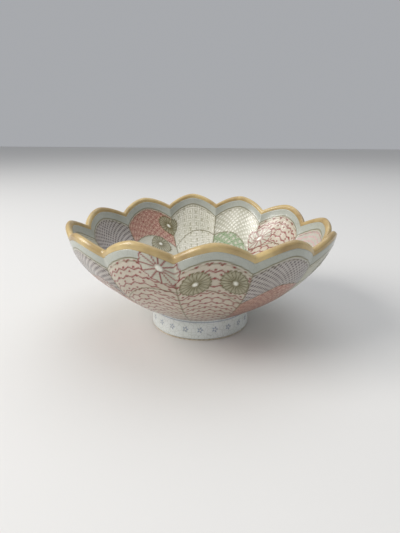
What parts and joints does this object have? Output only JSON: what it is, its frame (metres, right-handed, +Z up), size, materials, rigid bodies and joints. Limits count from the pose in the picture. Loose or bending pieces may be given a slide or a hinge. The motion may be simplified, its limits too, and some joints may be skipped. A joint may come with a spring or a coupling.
{
  "type": "bowl",
  "caption": "Footed ceramic bowl with a petal-shaped rim, painted in enamel panels of flowers and small patterns.",
  "frame": {"origin": "on the table at the middle of the foot ring", "axes": "+Z up along the bowl's axis, +X along the longer way of the slightly oval rim, -Y toward the viewer"},
  "size_m": [0.1468, 0.1388, 0.0656],
  "materials": {
    "clay_body": "bare fired stoneware under the glaze",
    "foot_ring": "bare fired stoneware where the bowl stands",
    "outside_glaze": "pale grey-green glaze with painted enamel, satin gloss",
    "inside_glaze": "pale grey-green glaze with painted enamel, satin gloss",
    "rim_band": "straw to ochre brown glaze on the lip",
    "foot_glaze": "white crackled glaze with small blue-grey flowers",
    "recess_glaze": "white crackled glaze"
  },
  "bodies": {
    "root": {"clay_body": "clay_body", "foot_ring": "foot_ring", "outside_glaze": "outside_glaze", "inside_glaze": "inside_glaze", "rim_band": "rim_band", "foot_glaze": "foot_glaze", "recess_glaze": "recess_glaze"}
  },
  "joints": []
}
